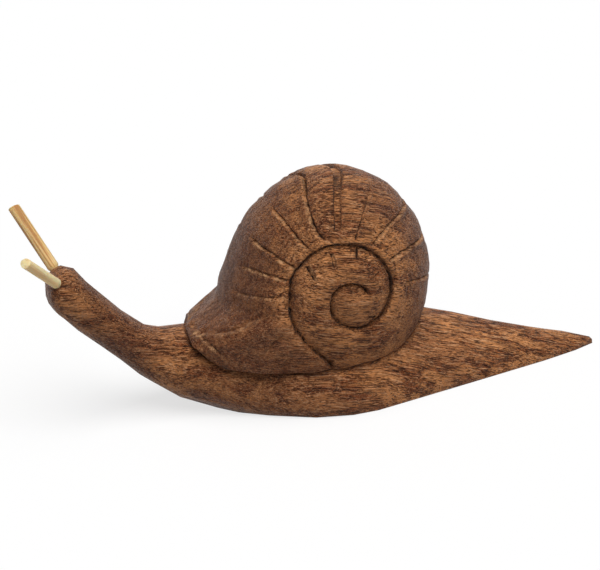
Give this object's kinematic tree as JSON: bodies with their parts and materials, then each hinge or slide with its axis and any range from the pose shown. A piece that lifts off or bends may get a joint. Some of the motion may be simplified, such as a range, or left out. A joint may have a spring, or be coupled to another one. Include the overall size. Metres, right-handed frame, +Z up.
{
  "type": "snail figurine",
  "caption": "Carved wooden snail ornament with a coiled, ribbed shell, a raised head on a slender neck, a flat tapering foot and thin cane tentacles.",
  "frame": {"origin": "on the sole, straight below the middle of the shell's spiral", "axes": "+X towards the tail and -X towards the head, +Y to the snail's right, +Z up from the flat sole"},
  "size_m": [0.2106, 0.0545, 0.0812],
  "materials": {
    "carved_wood": "waxed satin, open dark pores",
    "cane": "bare, fine straight fibres"
  },
  "bodies": {
    "root": {"carved_snail": "carved_wood", "left_tentacle": "cane", "right_tentacle": "cane"}
  },
  "joints": []
}
